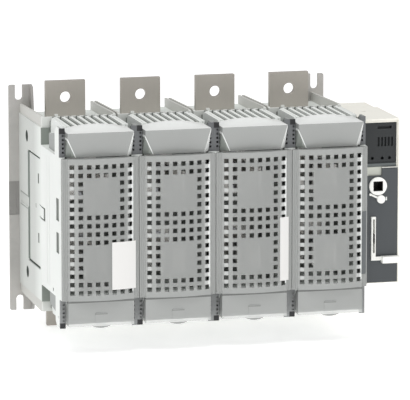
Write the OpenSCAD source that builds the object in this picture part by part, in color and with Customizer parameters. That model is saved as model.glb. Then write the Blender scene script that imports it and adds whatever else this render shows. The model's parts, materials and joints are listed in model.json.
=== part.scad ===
// Four-pole fuse switch disconnector with a front-operated mechanism on the right.
// Millimetres. The origin is on the panel face, in the middle of the four poles.
// X runs to the right, Z up, and the front looks along -Y.
// Depths in this file are measured forward from the panel face.

/* [Poles] */
// Width of one pole
pole_pitch = 94; // [92:0.5:98]
// Height of the rear switch case
base_height = 212; // [206:1:220]
// Depth at which the rear switch case meets the fuse bay
base_front = 126; // [124:0.5:130]
// Wall thickness of the rear switch case
base_wall = 5; // [4.5:0.1:6]
// Height of the fuse bay over its open front
bay_height = 170; // [168:1:176]
// Depth of the front edge of the fuse bay
bay_front = 233; // [230:0.5:240]
// Wall thickness of the fuse bay
bay_wall = 3; // [2.5:0.1:3.5]
// Height of the vent ribs above the case's front ledge
vent_rise = 0.5; // [0:0.5:3]
// Depth of the front wall of the vent boxes
vent_front = 204; // [200:0.5:206]
// Height of a vent rib above its deck
rib_height = 5; // [3:0.5:6]
// Distance between two vent ribs
rib_pitch = 9.6; // [8:0.1:12]
// Thickness of a vent rib
rib_width = 4; // [3:0.1:5]
// Height of the phase barriers above the rear case, at the panel
barrier_rise = 11; // [6:0.5:16]
// Height of the ledge along the front of the rear case
ledge_rise = 12.5; // [8:0.5:14]
// Thickness of a phase barrier
barrier_wall = 2.8; // [2:0.1:4]

/* [Fuse covers] */
// Wall thickness of the clear covers and guards
cover_wall = 2.2; // [1.8:0.1:2.6]
// Radius of the bulged cover front
bulge_radius = 130; // [122:1:150]
// Depth of the highest line of the cover front
cover_front = 244.7; // [243:0.1:248]
// Side of a square vent hole
grille_hole = 5.5; // [4:0.1:6.5]
// Distance between vent holes
grille_pitch = 10.05; // [9.6:0.05:10.2]
// Gap between a cover and its neighbours
cover_gap = 0.5; // [0.3:0.05:0.8]
// Gap between the back edge of a cover and the fuse bay
cover_seat_gap = 0.3; // [0.2:0.05:0.6]
// Width of the apron below a cover and of the guard above it
apron_width = 80; // [76:0.5:84]
// Depth of the apron front
apron_front = 239; // [238:0.1:241]
// Lowest line of the apron
apron_bottom = 116; // [115:0.5:118]
// Width of the finger lip under the apron
lip_width = 22; // [16:0.5:28]
// Drop of the finger lip
lip_drop = 2.4; // [1.5:0.1:3.5]
// Distance of the cover hinge axis in front of the vent boxes
hinge_reach = 12; // [11:0.5:14]
// Height of the cover hinge axis below the middle
hinge_drop = 108; // [107:0.5:109]
// Diameter of the hinge pins
hinge_pin_d = 4; // [3:0.1:5]
// Radial running clearance of shafts and pins
running_gap = 0.05; // [0.02:0.01:0.09]
// Height of the top edge of the guard
hood_top = 116; // [114:0.5:118]
// Rise of the arched rear edge of the guard
hood_arch = 5; // [2:0.5:6]
// Width of the guard at the foot of its finger scoop
scoop_width = 66; // [58:1:70]
// How far the finger scoop recedes at its foot
scoop_depth = 6; // [3:0.5:6.5]

/* [Side flanges] */
// Distance of the slotted side flanges in front of the hinge axis
flange_reach = 10; // [6:0.5:12]
// Thickness of a slotted side flange
ladder_wall = 2.5; // [2:0.1:4]
// Width of a slotted side flange
ladder_width = 4.6; // [4:0.1:4.8]
// Height of one flange slot
ladder_slot = 2.6; // [2:0.1:3.4]
// Distance between flange slots
ladder_pitch = 5; // [4.5:0.1:6]
// Number of slots in one flange
ladder_count = 5; // [3:1:5]
// Height at which the side flanges end
ladder_end = 120; // [118:0.5:122]

/* [Terminals] */
// Width of a terminal bar
terminal_width = 49.5; // [44:0.1:54]
// Thickness of a terminal bar
terminal_thick = 7; // [5:0.1:8]
// Depth of the back face of a terminal bar
terminal_depth = 48; // [46:0.5:50]
// Overall height over the terminals
terminal_span = 302.6; // [296:0.2:306]
// Diameter of the terminal bolt hole
terminal_hole = 13.5; // [11:0.1:16]
// Distance from the terminal's end to its hole
terminal_edge = 20.5; // [18:0.5:24]
// Depth of the back face of the inner conductors
contact_depth = 62; // [60:0.5:64]
// Width of the fixed and moving contacts
contact_width = 36; // [30:0.5:38]

/* [Fuse jaws] */
// Height of the middle of the fuse jaws above and below the middle
jaw_height = 47; // [45:0.5:49]
// Length of a jaw blade along Z
jaw_length = 28; // [24:0.5:32]
// Depth of the front tips of the jaws
jaw_front = 212; // [206:0.5:216]
// Thickness of a jaw blade
jaw_thick = 4; // [3:0.1:5]
// Free width between the two jaw blades
jaw_gap = 5.6; // [5:0.1:6.5]
// Spread of the flared tips on each side
jaw_flare = 9; // [6:0.5:11]

/* [Drive] */
// Side of the square drive bar
drive_side = 12; // [10:0.5:13]
// Depth of the middle of the drive bar when the switch is off
drive_depth = 86; // [85:0.5:87]
// Travel of the moving contacts
drive_travel = 14; // [12:0.5:15]
// Diameter of the grooved cam drum
drum_d = 27; // [26:0.5:28]
// Diameter of the follower pin
follower_d = 5; // [4:0.1:6]

/* [Mechanism] */
// Width of the mechanism case
mech_width = 46.7; // [45:0.1:50]
// Height of the top of the mechanism case
mech_top = 114; // [112:0.5:118]
// Height of the bottom of the mechanism case below the middle
mech_bottom = 87; // [85:0.5:92]
// Depth of the front of the mechanism case
mech_front = 213; // [212:0.5:216]
// Wall thickness of the mechanism case
mech_wall = 3; // [2.5:0.1:4]
// Depth of the step in the top of the mechanism case
mech_step = 121; // [114:0.5:126]
// Depth of the rear edge of the mechanism's tall part
mech_rear = 68; // [64:0.5:72]
// Height of the shaft above the middle
shaft_height = 32.3; // [31.5:0.1:33]
// Diameter of the white ring round the shaft
ring_d = 22; // [20:0.5:23]
// Side of the square shaft socket
socket_side = 12; // [10:0.1:13]
// Depth of the square shaft socket
socket_depth = 22; // [18:0.5:26]
// Diameter of the interlock lever's round head
lever_d = 10; // [8:0.1:10.5]
// Length of the interlock lever's arm
lever_length = 16; // [14:0.1:16.5]
// Width of the lock tab's bars
tab_width = 5.5; // [4.5:0.1:6]

/* [Rails and fasteners] */
// Width of a mounting rail
rail_width = 29; // [26:0.5:30]
// Thickness of the rail's sheet
rail_thick = 3; // [2.5:0.1:4]
// Overall height of a mounting rail
rail_height = 280.5; // [274:0.5:286]
// Width of the rail's open mounting slots
slot_width = 9; // [7:0.5:11]
// Height of the middle of each slot's round end
slot_height = 126; // [124:0.5:128]
// Depth of the stiffening flange along the rail's inner edge
rail_flange = 13; // [8:0.5:16]
// Diameter of the through rods
rod_d = 8; // [6:0.5:9]
// Distance of the through rods from the top and bottom of the rear case
rod_inset = 22; // [21:0.5:23]
// Depth of the through rods
rod_depth = 47; // [44:0.5:48]
// Diameter of the counterbores for rod heads
counterbore_d = 14.4; // [13:0.1:15.5]
// Depth of the counterbores for rod heads
counterbore_depth = 11; // [8:0.5:12]
// Height of the rail screws above and below the middle
rail_screw_height = 60; // [50:1:66]

/* [Hidden] */
pole_count = 4;
$fn = 64;

fit_gap = 0.2;
overcut = 1;
block_half = pole_count * pole_pitch / 2;
pole_mid = pole_pitch / 2;
base_half = base_height / 2;
bay_half = bay_height / 2;
vent_half = base_height / 2 + ledge_rise + vent_rise;
bay_floor = base_front + 6;
rear_skin = rail_thick + 4;
deck_half = vent_half - rib_height;
deck_inner = deck_half - bay_wall;
side_inset = 5;
vent_left = 11;
rod_height = base_half - rod_inset;
hinge_depth = vent_front + hinge_reach;
ladder_front = hinge_depth + flange_reach;
hood_rear = vent_front + cover_seat_gap;
ladder_in = 2;
head_depth = 4;
side_recess = 1.2;
groove_cut = 3.4;
recess_rear = 56;
recess_half = 67;
latch_z = [-5, 11];
shoulder_x = 4;
shoulder_depth = base_front + 27;
peg_x = 18;
barrier_in = 1.2;
screw_d = 5;
rail_out = 12.5;
rail_screw_in = 4;
rib_count = floor((pole_pitch - side_inset - vent_left - rib_width) / rib_pitch) + 1;

grille_cols = 8;
grille_rows = 16;
blank_cols = [3, 6];
blank_rows = [[3, 6], [11, 14]];
bulge_centre = cover_front - bulge_radius;
cover_back = bay_front + cover_seat_gap;
apron_x = [pole_mid - apron_width / 2, pole_mid + apron_width / 2];
cheek_wall = 2.6;
knuckle_r = hinge_pin_d / 2 + 2.4;

conductor_face = contact_depth + terminal_thick;
conductor_end = 30;
bridge_thick = 6;
drive_z = drive_side / 2;
bridge_back = conductor_face + drive_travel + fit_gap;
bridge_top = jaw_height + 16;
pillar_z = bridge_top + 9;
pillar_half = 6;
strap_z = [18, 24];
foot_top = 42;
carrier_front = bridge_back + bridge_thick + 7;

blade_x = jaw_gap / 2;
jaw_plate_back = bay_floor;
jaw_plate_front = bay_floor + 6;
flare_start = jaw_front - 14;
jaw_screw_offset = 19;

mech_left = block_half + 0.3;
mech_right = mech_left + mech_width;
frame_strip = 2;
shaft_x = block_half + 19.6;
drum_r = drum_d / 2;
groove_depth = 4.5;
groove_r = follower_d / 2 + 0.6;
drum_back = drive_depth - drive_travel - 12;
drum_front = drive_depth + 12;
shaft_d = 16;
window_bottom = 55;
window_top = mech_top - 2;
face_back = mech_front - mech_wall;
notch_right = shaft_x + 5.4;
notch_bottom = shaft_height + ring_d / 2 + 1.5;
lever_x = shaft_x + 3.7;
lever_z = shaft_height - 16;
lever_angle = 155;
lever_arm = 2.2;
lever_tip = 1.5;
tab_x = shaft_x - 8.1;
tab_top = -5;
tab_foot = -55.5;
tab_proud = 2.5;
clip_depth = 150;
tab_guide = 18;
bearing_length = 16;
rod_end = mech_right - 12;

// left side of pole k
function pole_x(k) = (k - 1) * pole_pitch - block_half;

// block between two corners: x, depth from the panel, z
module block(x, d, z) {
    translate([x[0], -d[1], z[0]])
        cube([x[1] - x[0], d[1] - d[0], z[1] - z[0]]);
}

// rod along X
module rod_x(x, d, z, dia) {
    translate([x[0], -d, z]) rotate([0, 90, 0]) cylinder(d = dia, h = x[1] - x[0]);
}

// rod along the depth
module rod_y(d, x, z, dia) {
    translate([x, -d[0], z]) rotate([90, 0, 0]) cylinder(d = dia, h = d[1] - d[0]);
}

// plan outline (x, depth) raised along Z
module raise_plan(z) {
    translate([0, 0, z[0]]) mirror([0, 1, 0]) linear_extrude(z[1] - z[0]) children();
}

// side outline (depth, z) drawn along X
module draw_side(x) {
    translate([x[1], 0, 0]) rotate([90, 0, -90]) linear_extrude(x[1] - x[0]) children();
}

// front outline (x, z) drawn along the depth
module draw_front(d) {
    translate([0, -d[0], 0]) rotate([90, 0, 0]) linear_extrude(d[1] - d[0]) children();
}

module rounded_rect(w, h, r) {
    square([w - 2 * r, h], center = true);
    square([w, h - 2 * r], center = true);
    for (x = [-1, 1], y = [-1, 1])
        translate([x * (w / 2 - r), y * (h / 2 - r)]) circle(r);
}

// the same thing above and below the middle
module both_ends() {
    children();
    mirror([0, 0, 1]) children();
}

// Rear switch case of one pole: moulded box with pillars for the fixed contacts
module base_case(k) {
    cavity_x = [base_wall, pole_pitch - base_wall];
    cavity_z = base_half - base_wall;
    slot_d = [drive_depth - drive_travel - drive_z - overcut, drive_depth + drive_z + overcut];
    color("whitesmoke")
    difference() {
        union() {
            difference() {
                block([0, pole_pitch], [rail_thick, base_front], [-base_half, base_half]);
                block(cavity_x, [rear_skin, base_front + overcut], [-cavity_z, cavity_z]);
            }
            both_ends() base_end_details();
        }
        both_ends() {
            terminal_opening();
            rod_x([-overcut, pole_pitch + overcut], rod_depth, rod_height, rod_d + 2 * fit_gap);
            rod_x([-overcut, counterbore_depth + head_depth], rod_depth, rod_height,
                  counterbore_d);
            rail_screw_holes();
        }
        if (k > 1)
            block([-overcut, base_wall + overcut], slot_d, [-drive_z - overcut, drive_z + overcut]);
        block([pole_pitch - base_wall - overcut, pole_pitch + overcut], slot_d,
              [-drive_z - overcut, drive_z + overcut]);
        base_side_details();
    }
}

// Barriers, front ledge, rod bosses and contact pillars at one end of the case
module base_end_details() {
    ledge_top = base_half + ledge_rise;
    for (x = [barrier_in, pole_pitch - barrier_in - barrier_wall])
        draw_side([x, x + barrier_wall])
            polygon([[rail_thick, base_half - base_wall], [base_front, base_half - base_wall],
                     [base_front, ledge_top], [base_front - 8, ledge_top + 1.5],
                     [rail_thick, base_half + barrier_rise]]);
    block([barrier_in, pole_pitch - barrier_in], [base_front - 4, base_front],
          [base_half - 1, ledge_top]);
    // peg in front of the terminal's foot
    block([peg_x, peg_x + 4], [base_front - 6.5, base_front - 2], [ledge_top - 1, ledge_top + 2.5]);
    // bosses of the through rods
    rod_x([base_wall - 1, counterbore_depth + head_depth + 5], rod_depth, rod_height,
          counterbore_d + 5);
    rod_x([pole_pitch - 11, pole_pitch - base_wall + 1], rod_depth, rod_height, rod_d + 6);
    // pillar under the inner end of the terminal bar
    block([pole_mid - 8, pole_mid + 8], [rear_skin - 1, contact_depth],
          [pillar_z - pillar_half, pillar_z + pillar_half]);
    // pillar under the foot of the jaw strap
    block([pole_mid - 8, pole_mid + 8], [rear_skin - 1, contact_depth],
          [strap_z[1] + 4, foot_top - 2]);
}

module terminal_opening() {
    block([pole_mid - terminal_width / 2 - fit_gap, pole_mid + terminal_width / 2 + fit_gap],
          [terminal_depth - fit_gap, terminal_depth + terminal_thick + fit_gap],
          [base_half - base_wall - overcut, base_half + overcut]);
    rod_y([contact_depth - 12, contact_depth + overcut], pole_mid, pillar_z, 6);
}

// Blind holes at the back for the screws that hold the rails
module rail_screw_holes() {
    for (x = [rail_screw_in, pole_pitch - rail_screw_in])
        rod_y([rail_thick - overcut, rail_thick + 3.2], x, rail_screw_height, screw_d + fit_gap);
}

// Shallow recess with a groove round it, moulded into the left side
module base_side_details() {
    front = base_front - 6;
    block([-overcut, side_recess], [recess_rear, front], [-recess_half, recess_half]);
    block([-overcut, groove_cut], [recess_rear - 3, recess_rear], [-recess_half, recess_half]);
    both_ends()
        block([-overcut, groove_cut], [recess_rear - 3, front],
              [recess_half - 1, recess_half + 1.6]);
    for (z = [41, -32])
        block([-overcut, groove_cut], [base_front - 20.5, base_front - 17.5], [z - 6, z + 6]);
    block([-overcut, groove_cut], [base_front - 36, base_front - 33], [3, 8]);
    for (z = [latch_z[0], latch_z[1] - 1.8])
        block([-overcut, side_recess + 1], [base_front - 14, base_front + overcut], [z, z + 1.8]);
    block([-overcut, side_recess], [8, recess_rear - 3 + overcut], [-3, 9]);
}

// Fuse bay of one pole: open channel with a vent box at each end
module fuse_bay(k) {
    color("gainsboro")
    difference() {
        union() {
            block([0, bay_wall], [base_front, bay_front], [-bay_half, bay_half]);
            block([pole_pitch - bay_wall, pole_pitch], [base_front, bay_front],
                  [-bay_half, bay_half]);
            block([0, pole_pitch], [base_front, bay_floor], [-bay_half, bay_half]);
            both_ends() vent_box();
            both_ends() side_ladders();
            for (x = [9, pole_pitch - 12])
                block([x, x + 3], [base_front, bay_front - 8], [-bay_half, bay_half]);
        }
        both_ends() strap_opening();
        bay_side_details();
        for (x = [0, pole_pitch - 7 - overcut])
            rod_x([x, x + 7 + overcut], hinge_depth, -hinge_drop, hinge_pin_d);
    }
}

// Vent box: hollow, open towards the fuses, with ribs along its deck
module vent_box() {
    box_x = [vent_left, pole_pitch - side_inset];
    difference() {
        union() {
            block(box_x, [base_front, vent_front], [bay_half - bay_wall, deck_half]);
            for (x = [box_x[0], box_x[1] - bay_wall])
                draw_side([x, x + bay_wall])
                    polygon([[base_front, bay_half - bay_wall], [base_front, deck_half - 6],
                             [base_front + 12, vent_half], [vent_front, vent_half],
                             [vent_front, bay_half - bay_wall]]);
        }
        block([box_x[0] + bay_wall, box_x[1] - bay_wall], [bay_floor, vent_front - bay_wall],
              [bay_half - bay_wall - overcut, deck_inner]);
        for (i = [0:rib_count - 2])
            block([rib_start() + i * rib_pitch + rib_width + 1.2,
                   rib_start() + (i + 1) * rib_pitch - 1.2],
                  [bay_floor + 8, vent_front - 12], [deck_inner - overcut, deck_half + overcut]);
    }
    for (i = [0:rib_count - 1]) {
        x = rib_start() + i * rib_pitch;
        block([x, x + rib_width], [base_front, vent_front], [deck_half - 0.5, vent_half]);
    }
    // sill that closes the front of the box down to the bay
    block([0, pole_pitch], [vent_front - bay_wall, vent_front], [bay_half - bay_wall, bay_half]);
    for (x = [[0, vent_left + 1], [pole_pitch - side_inset - 1, pole_pitch]]) {
        block(x, [base_front, vent_front], [bay_half - bay_wall, bay_half]);
        block(x, [base_front, base_front + 2], [bay_half - 1, base_half]);
    }
}

function rib_start() =
    (vent_left + pole_pitch - side_inset - (rib_count - 1) * rib_pitch - rib_width) / 2;

// Slotted flanges beside the guard and the apron
module side_ladders() {
    for (side = [0, 1]) {
        x = side == 0 ? ladder_in : pole_pitch - ladder_in - ladder_width;
        web = side == 0 ? [0, bay_wall - 0.4] : [pole_pitch - bay_wall + 0.4, pole_pitch];
        difference() {
            union() {
                block([x, x + ladder_width], [ladder_front - ladder_wall, ladder_front],
                      [bay_half - 1, ladder_end]);
                draw_side(web)
                    polygon([[vent_front - bay_wall, bay_half - 1], [ladder_front, bay_half - 1],
                             [ladder_front, ladder_end],
                             [hinge_depth - 7, ladder_end],
                             [vent_front - bay_wall, vent_half - rib_height]]);
                block(side == 0 ? [0, ladder_in + ladder_width]
                                : [pole_pitch - ladder_in - ladder_width, pole_pitch],
                      [hinge_depth - 4, hinge_depth + 4], [hinge_drop - 5, hinge_drop + 5]);
            }
            for (i = [0:ladder_count - 1]) {
                z = bay_half + 5 + i * ladder_pitch;
                block([x + 1.1, x + ladder_width - 1.1],
                      [ladder_front - ladder_wall - overcut, ladder_front + overcut],
                      [z, z + ladder_slot]);
            }
        }
    }
    // shoulder left of the vent box, with an open corner behind it
    draw_side([shoulder_x, vent_left + 0.5])
        polygon([[shoulder_depth, bay_half - 1], [shoulder_depth, deck_half - 11],
                 [vent_front, deck_half - 4], [vent_front, bay_half - 1]]);
    // web that ties the flanges to the vent box
    for (x = [[0, vent_left + 1], [pole_pitch - side_inset - 1, pole_pitch]])
        block(x, [vent_front - bay_wall, vent_front], [bay_half - 1, deck_half]);
}

module strap_opening() {
    block([pole_mid - contact_width / 2 - fit_gap, pole_mid + contact_width / 2 + fit_gap],
          [base_front - overcut, bay_floor + overcut],
          [strap_z[0] - fit_gap, strap_z[1] + fit_gap]);
    for (z = [-1, 1])
        rod_y([bay_floor - 5.2, bay_floor + overcut], pole_mid,
              jaw_height + z * jaw_screw_offset, screw_d + fit_gap);
}

// Pockets in the left side of the fuse bay
module bay_side_details() {
    pocket = bay_wall - 0.9;
    for (z = [[8, 35], [-31, -6]])
        block([-overcut, pocket], [bay_front - 26, bay_front - 11], z);
    for (x = [32, 44])
        block([-overcut, 0.7], [base_front + x, base_front + x + 1.2], [-78, 78]);
    // latch between the rear case and the bay
    block([-overcut, pocket], [base_front + 13, base_front + 22], latch_z);
    for (z = [latch_z[0], latch_z[1] - 1.8])
        block([-overcut, pocket], [base_front - overcut, base_front + 14], [z, z + 1.8]);
    rod_x([-overcut, pocket], vent_front - 14, 6 - bay_half, 5);
    both_ends()
        rod_x([shoulder_x - overcut, shoulder_x + 1], vent_front - 9, deck_half - 13, 5);
}

// Plan outline of the bulged cover front between two side lines
module bulge_plan(x, radius, back) {
    intersection() {
        translate([pole_mid, bulge_centre]) circle(radius, $fn = 180);
        translate([x[0], back]) square([x[1] - x[0], cover_front - back + overcut]);
    }
}

// Hinged clear cover of one pole: grille, apron and finger lip in one moulding
module fuse_cover(k) {
    outer_x = [cover_gap, pole_pitch - cover_gap];
    inner_x = [outer_x[0] + cover_wall, outer_x[1] - cover_wall];
    color("lightslategray")
    difference() {
        union() {
            raise_plan([-bay_half, bay_half])
                difference() {
                    bulge_plan(outer_x, bulge_radius, cover_back);
                    bulge_plan(inner_x, bulge_radius - cover_wall, cover_back - overcut);
                    stile_flutes();
                }
            for (z = [-bay_half, bay_half - cover_wall])
                raise_plan([z, z + cover_wall])
                    bulge_plan(outer_x, bulge_radius - 1.2, cover_back);
            apron();
        }
        draw_front([cover_back + 1, cover_front + overcut]) grille_holes();
        for (x = [apron_x[0] - overcut, apron_x[1] - cheek_wall - overcut])
            rod_x([x, x + cheek_wall + 2 * overcut], hinge_depth, -hinge_drop,
                  hinge_pin_d + 2 * running_gap);
    }
}

// Fine vertical flutes along both stiles
module stile_flutes() {
    for (side = [-1, 1], i = [0:2]) {
        off = pole_mid - cover_gap - 2 - i * 2;
        translate([pole_mid + side * off, bulge_centre + sqrt(pow(bulge_radius, 2) - off * off)])
            circle(0.6, $fn = 16);
    }
}

module grille_holes() {
    for (r = [1:grille_rows], c = [1:grille_cols]) {
        in_cols = c >= blank_cols[0] && c <= blank_cols[1];
        in_rows = (r >= blank_rows[0][0] && r <= blank_rows[0][1])
               || (r >= blank_rows[1][0] && r <= blank_rows[1][1]);
        if (!(in_cols && in_rows))
            translate([pole_mid + (c - (grille_cols + 1) / 2) * grille_pitch,
                       ((grille_rows + 1) / 2 - r) * grille_pitch])
                square(grille_hole, center = true);
    }
}

// Apron with hinge cheeks and the lip below it
module apron() {
    front_back = apron_front - cover_wall;
    block(apron_x, [front_back, apron_front], [-apron_bottom, -bay_half + cover_wall]);
    for (x = [apron_x[0], apron_x[1] - cheek_wall])
        draw_side([x, x + cheek_wall]) {
            polygon([[apron_front - 0.5, -apron_bottom], [apron_front - 0.5, -bay_half + 1],
                     [cover_back + 1, -bay_half + 1],
                     [hinge_depth - 2, -hinge_drop + knuckle_r - 0.3],
                     [hinge_depth, -hinge_drop - knuckle_r + 0.05]]);
            translate([hinge_depth, -hinge_drop]) circle(knuckle_r);
        }
    lip_half = lip_width / 2 + 0.4;
    lip_r = (lip_half * lip_half + lip_drop * lip_drop) / (2 * lip_drop);
    draw_front([front_back, apron_front + 0.8])
        intersection() {
            translate([pole_mid, lip_r - apron_bottom - lip_drop]) circle(lip_r);
            translate([pole_mid - lip_width / 2, -apron_bottom - lip_drop])
                square([lip_width, lip_drop + 1.2]);
        }
    draw_front([front_back, apron_front + 0.6])
        translate([pole_mid, -apron_bottom + 10]) rounded_rect(15, 12, 2);
}

// Fixed clear guard above the cover, with a finger scoop and an arched visor
module guard(k) {
    color("lightslategray")
    difference() {
        union() {
            guard_form(0);
            guard_visor(0, hood_top, hood_rear);
        }
        guard_form(cover_wall);
        guard_visor(cover_wall, hood_top, hood_rear - overcut);
        // the rear is open, in front of the vent box
        block([apron_x[0] + cover_wall, apron_x[1] - cover_wall],
              [hood_rear - 5, vent_front + 12], [bay_half - 3, hood_top - cover_wall]);
        block([-overcut, pole_pitch + overcut], [hood_rear - 5, hood_rear],
              [bay_half - 3, hood_top + hood_arch + overcut]);
    }
}

// Front body of the guard, shrunk by a wall when it is used as the inside
module guard_form(wall) {
    foot_z = bay_half + 1;
    top_x = [apron_x[0] + wall, apron_x[1] - wall];
    scoop_half = scoop_width / 2 - wall;
    hull() {
        block(top_x, [cover_front - 5.7 - wall, cover_front - 4.7 - wall],
              [hood_top - 3, hood_top - wall]);
        block([pole_mid - scoop_half, pole_mid + scoop_half],
              [cover_front - 5.7 - scoop_depth - wall, cover_front - 4.7 - scoop_depth - wall],
              [foot_z - (wall > 0 ? 4 : 0), foot_z + 1]);
        block(top_x, [vent_front, vent_front + 22],
              [foot_z - (wall > 0 ? 4 : 0), hood_top - wall]);
    }
}

// Visor that rises from the straight front edge to an arch over the vent ribs
module guard_visor(wall, base_z, rear) {
    half = apron_width / 2 - wall;
    arch_r = (half * half + hood_arch * hood_arch) / (2 * hood_arch);
    hull() {
        block([pole_mid - half, pole_mid + half],
              [cover_front - 5.7 - wall, cover_front - 4.7 - wall], [base_z - 2.4, base_z - wall]);
        draw_front([rear, rear + 0.8])
            intersection() {
                translate([pole_mid, base_z + hood_arch - wall - arch_r]) circle(arch_r, $fn = 180);
                translate([pole_mid - half, base_z - 2.4]) square([2 * half, hood_arch + 3]);
            }
    }
}

// Terminal bar with a joggle to the plane of the fixed contact
module terminal(k) {
    w = [pole_mid - terminal_width / 2, pole_mid + terminal_width / 2];
    outer_end = terminal_span / 2;
    joggle = rod_height + rod_d / 2 + 2.2;
    color("darkgray")
    difference() {
        union() {
            draw_side(w)
                polygon([[terminal_depth, joggle + 8], [terminal_depth, outer_end],
                         [terminal_depth + terminal_thick, outer_end],
                         [terminal_depth + terminal_thick, joggle + 8],
                         [conductor_face, joggle], [conductor_face, pillar_z + 8],
                         [contact_depth, pillar_z + 8], [contact_depth, joggle]]);
            block([pole_mid - contact_width / 2, pole_mid + contact_width / 2],
                  [contact_depth, conductor_face], [bridge_top - 15, pillar_z + 8]);
        }
        rod_y([terminal_depth - overcut, terminal_depth + terminal_thick + overcut],
              pole_mid, outer_end - terminal_edge, terminal_hole);
        rod_y([contact_depth - overcut, conductor_face + overcut], pole_mid, pillar_z, 6.4);
    }
}

// Fuse jaw: plate, two sprung blades and the strap back to the fixed contact
module jaw(k) {
    half = contact_width / 2;
    color("silver")
    difference() {
        union() {
            block([pole_mid - half, pole_mid + half], [jaw_plate_back, jaw_plate_front],
                  [strap_z[0], jaw_height + jaw_screw_offset + 6]);
            block([pole_mid - half, pole_mid + half], [contact_depth, jaw_plate_back + 1], strap_z);
            block([pole_mid - half, pole_mid + half], [contact_depth, conductor_face],
                  [strap_z[0], foot_top]);
            for (side = [0, 1])
                translate([side * 2 * pole_mid, 0, 0]) mirror([side, 0, 0])
                    raise_plan([jaw_height - jaw_length / 2, jaw_height + jaw_length / 2])
                        jaw_blade_plan();
        }
        for (z = [-1, 1])
            rod_y([jaw_plate_back - overcut, jaw_plate_front + overcut], pole_mid,
                  jaw_height + z * jaw_screw_offset, 5.4);
    }
}

// Plan outline of the left blade: foot, straight part and flared tip
module jaw_blade_plan() {
    inner = pole_mid - blade_x;
    polygon([[inner - 3, jaw_plate_front - 1], [inner - 3 - jaw_thick, jaw_plate_front - 1],
             [inner - 3 - jaw_thick, jaw_plate_front + 12], [inner - jaw_thick, flare_start - 28],
             [inner - jaw_thick, flare_start], [inner - jaw_flare - jaw_thick, jaw_front - 2],
             [inner - jaw_flare - jaw_thick + 0.8, jaw_front], [inner - jaw_flare, jaw_front],
             [inner, flare_start + 1], [inner, flare_start - 28],
             [inner - 3, jaw_plate_front + 12]]);
}

// Spring clips round the jaw blades
module jaw_springs() {
    clip = 1.6;
    d0 = flare_start - 24;
    outer = blade_x + jaw_thick;
    color("dimgray")
    for (k = [1:pole_count]) translate([pole_x(k) + pole_mid, 0, 0])
        both_ends() {
            for (side = [0, 1]) mirror([side, 0, 0])
                block([-outer - clip, -outer], [d0, d0 + 12],
                      [jaw_height - jaw_length / 2 - clip, jaw_height + jaw_length / 2 + clip]);
            for (z = [jaw_height - jaw_length / 2 - clip, jaw_height + jaw_length / 2])
                block([-outer - clip, outer + clip], [d0, d0 + 12], [z, z + clip]);
        }
}

module jaw_screws() {
    color("lightgray")
    for (k = [1:pole_count]) translate([pole_x(k), 0, 0]) both_ends()
        for (z = [-1, 1])
            difference() {
                union() {
                    rod_y([bay_floor - 5, jaw_plate_front + 0.5], pole_mid,
                          jaw_height + z * jaw_screw_offset, screw_d);
                    rod_y([jaw_plate_front, jaw_plate_front + 3], pole_mid,
                          jaw_height + z * jaw_screw_offset, 9);
                }
                block([pole_mid - 5, pole_mid + 5], [jaw_plate_front + 2, jaw_plate_front + 4],
                      [jaw_height + z * jaw_screw_offset - 0.6,
                       jaw_height + z * jaw_screw_offset + 0.6]);
            }
}

module terminal_screws() {
    color("lightgray")
    for (k = [1:pole_count]) translate([pole_x(k), 0, 0]) both_ends() {
        rod_y([contact_depth - 12, conductor_face + 0.5], pole_mid, pillar_z, 6);
        rod_y([conductor_face, conductor_face + 4], pole_mid, pillar_z, 10);
    }
}

// Carrier that holds the moving contacts of one pole on the drive bar
module contact_carrier(k) {
    half = contact_width / 2;
    leg = [half + 4, half + 11];
    color("tan")
    difference() {
        union() {
            block([pole_mid - leg[1], pole_mid + leg[1]],
                  [drive_depth - drive_z - 3, drive_depth + drive_z + 3],
                  [-drive_z - 4, drive_z + 4]);
            for (s = [[-leg[1], -leg[0]], [leg[0], leg[1]]])
                block([pole_mid + s[0], pole_mid + s[1]],
                      [bridge_back, carrier_front], [-bridge_top, bridge_top]);
            both_ends()
                block([pole_mid - leg[1], pole_mid + leg[1]],
                      [bridge_back + bridge_thick, carrier_front],
                      [jaw_height - 3, jaw_height + 9]);
        }
        block([-overcut, pole_pitch + overcut], [drive_depth - drive_z, drive_depth + drive_z],
              [-drive_z, drive_z]);
    }
}

// Moving contact bridges of one pole, with raised contact tips
module contact_bridges(k) {
    half = contact_width / 2 - 1;
    color("peru")
    both_ends() {
        block([pole_mid - half, pole_mid + half],
              [bridge_back + 1.5, bridge_back + bridge_thick], [strap_z[1] + 4, bridge_top]);
        for (z = [[strap_z[1] + 4, strap_z[1] + 14], [bridge_top - 11, bridge_top - 1]])
            block([pole_mid - half, pole_mid + half], [bridge_back, bridge_back + 2], z);
    }
}

// Square bar through all poles, with the follower arm in the mechanism
module drive_bar() {
    end_x = shaft_x + drive_z;
    pin_top = shaft_height - drum_r + groove_depth - 0.5;
    color("silver") {
        block([pole_x(1) + base_wall + 8, end_x], [drive_depth - drive_z, drive_depth + drive_z],
              [-drive_z, drive_z]);
        block([shaft_x - drive_z, end_x], [drive_depth - drive_z, drive_depth + drive_z],
              [drive_z - 0.5, shaft_height - drum_r - 1.5]);
        translate([shaft_x, -drive_depth, drive_z])
            cylinder(d = follower_d, h = pin_top - drive_z);
    }
}

// Round pins that carry the covers in the side flanges
module hinge_pins() {
    color("silver")
    for (k = [1:pole_count]) {
        rod_x([pole_x(k) + 1.5, pole_x(k) + apron_x[0] + cheek_wall + 1.5],
              hinge_depth, -hinge_drop, hinge_pin_d);
        rod_x([pole_x(k) + apron_x[1] - cheek_wall - 1.5, pole_x(k) + pole_pitch - 1.5],
              hinge_depth, -hinge_drop, hinge_pin_d);
    }
}

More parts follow.
